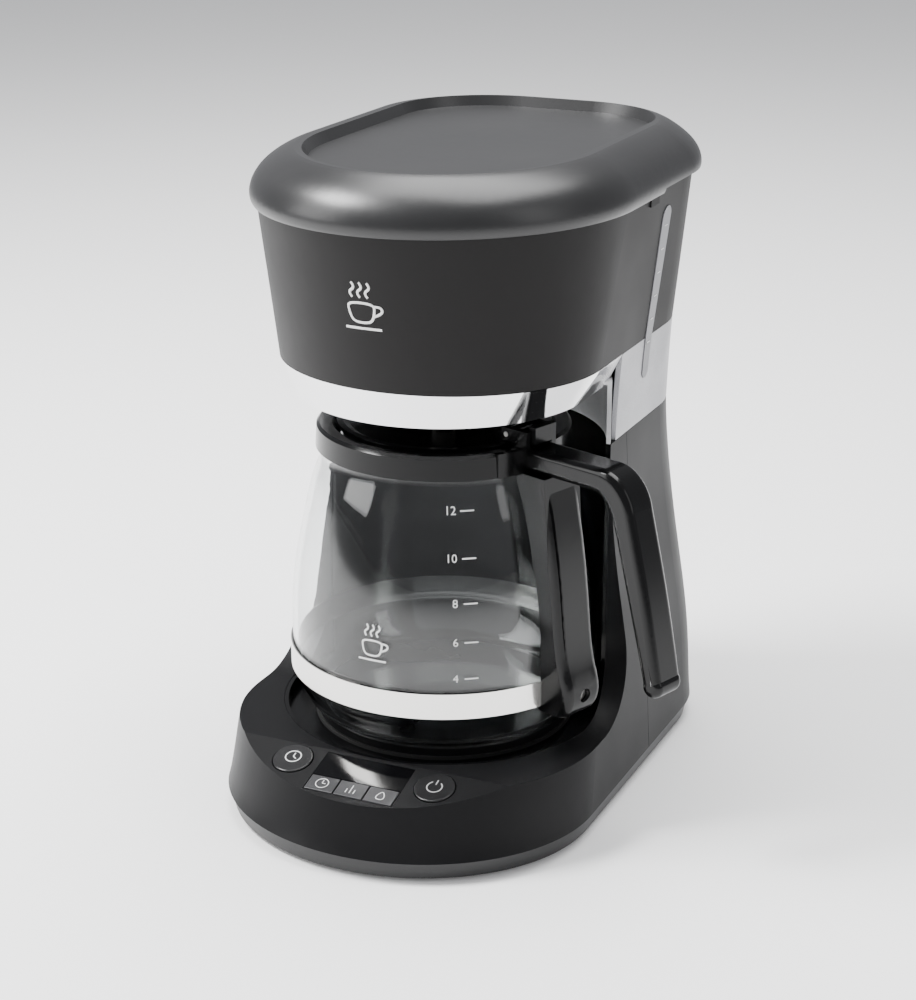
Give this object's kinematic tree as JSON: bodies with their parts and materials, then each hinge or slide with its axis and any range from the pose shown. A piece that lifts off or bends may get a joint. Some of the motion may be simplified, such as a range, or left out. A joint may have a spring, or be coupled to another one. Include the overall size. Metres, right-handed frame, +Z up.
{
  "type": "drip coffee maker",
  "caption": "Drip coffee maker with a squircle lid, chrome-ringed brew housing, warming plate, sloping button panel and a glass carafe with an open black handle.",
  "frame": {"origin": "bottom centre of the bounding box, on the surface the feet stand on", "axes": "+Z up, the machine faces -Y with its control panel and carafe, +X to the user's right"},
  "size_m": [0.2264, 0.277, 0.314],
  "materials": {
    "black_satin": "satin moulded black plastic",
    "pan_black": "lightly textured black plastic",
    "charcoal": "matte charcoal plastic",
    "silver": "satin silver paint on plastic",
    "chrome": "bright chrome plating on plastic",
    "well_black": "high-gloss black plastic",
    "plate": "dark non-stick coated steel",
    "seal": "matte silicone",
    "window": "translucent plastic",
    "tank": "smoky clear plastic",
    "deck": "matte black plastic",
    "spring": "bright spring wire",
    "heater": "as-cast aluminium",
    "steel": "plain pressed steel",
    "hose": "milky silicone",
    "lens": "glossy smoked window",
    "button": "glossy black plastic",
    "key": "satin dark grey plastic",
    "board": "green circuit board",
    "module": "grey-green display glass and plastic",
    "rubber": "matte rubber",
    "screw": "zinc plated steel",
    "glass": "clear polished glass",
    "handle_black": "polished black plastic",
    "band": "polished stainless steel"
  },
  "bodies": {
    "machine": {"bottom_pan": "pan_black", "base_shell": "black_satin", "rear_cover": "black_satin", "cord_grommet": "seal", "bay_liner": "well_black", "plate_seal": "seal", "warming_plate": "plate", "waist_band": "silver", "chrome_ring": "chrome", "upper_housing": "charcoal", "water_window": "window", "water_tank": "tank", "inner_deck": "deck", "brew_basket": "deck", "drip_spring": "spring", "heater_tube": "heater", "heater_clamp": "steel", "thermostat": "steel", "thermal_fuses": "steel", "inlet_hose": "hose", "riser_hose": "hose", "check_valve": "hose", "hose_clips": "spring", "outlet_nozzle": "deck", "display_lens": "lens", "control_board": "board", "lcd_module": "module", "panel_switches": "screw", "power_board": "board", "rubber_feet": "rubber", "base_screws": "screw", "lid_hinge_pins": "screw"},
    "lid": {"lid_shell": "black_satin", "lid_liner": "deck", "shower_head": "deck", "lid_screws": "screw"},
    "carafe": {"carafe_glass": "glass", "carafe_collar": "handle_black", "carafe_handle": "handle_black", "carafe_band": "band", "band_screw": "screw", "carafe_lid_pin": "screw"},
    "carafe_lid": {"carafe_lid": "handle_black"},
    "drip_valve": {"drip_valve": "seal"},
    "start_button": {"start_button": "button"},
    "delay_button": {"delay_button": "button"},
    "hour_button": {"hour_button": "key"},
    "minute_button": {"minute_button": "key"},
    "clean_button": {"clean_button": "key"}
  },
  "joints": [
    {"name": "lid_hinge", "type": "hinge", "parent": "machine", "child": "lid", "pos_m": [-0.02119, 0.1351, 0.291], "axis": [-1, 0, 0], "range_deg": [0, 95]},
    {"name": "carafe_slide", "type": "slide", "parent": "machine", "child": "carafe", "axis": [0, -1, 0], "range_m": [0, 0.25]},
    {"name": "carafe_lid_hinge", "type": "hinge", "parent": "carafe", "child": "carafe_lid", "pos_m": [0.02514, -0.03545, 0.1894], "axis": [0.3256, 0.9455, 0], "range_deg": [0, 6]},
    {"name": "drip_valve_lift", "type": "slide", "parent": "machine", "child": "drip_valve", "axis": [0, 0, 1], "range_m": [0, 0.0062], "deforming": ["drip_spring"]},
    {"name": "start_press", "type": "slide", "parent": "machine", "child": "start_button", "axis": [0, 0.2605, -0.9655], "range_m": [0, 0.001], "stiffness_N_per_m": 400},
    {"name": "delay_press", "type": "slide", "parent": "machine", "child": "delay_button", "axis": [0, 0.2605, -0.9655], "range_m": [0, 0.001], "stiffness_N_per_m": 400},
    {"name": "hour_press", "type": "slide", "parent": "machine", "child": "hour_button", "axis": [0, 0.2605, -0.9655], "range_m": [0, 0.001], "stiffness_N_per_m": 400},
    {"name": "minute_press", "type": "slide", "parent": "machine", "child": "minute_button", "axis": [0, 0.2605, -0.9655], "range_m": [0, 0.001], "stiffness_N_per_m": 400},
    {"name": "clean_press", "type": "slide", "parent": "machine", "child": "clean_button", "axis": [0, 0.2605, -0.9655], "range_m": [0, 0.001], "stiffness_N_per_m": 400}
  ],
  "couplings": [
    {"joint": "drip_valve_lift", "follows": "carafe_lid_hinge", "m_per_rad": 0.05634}
  ]
}
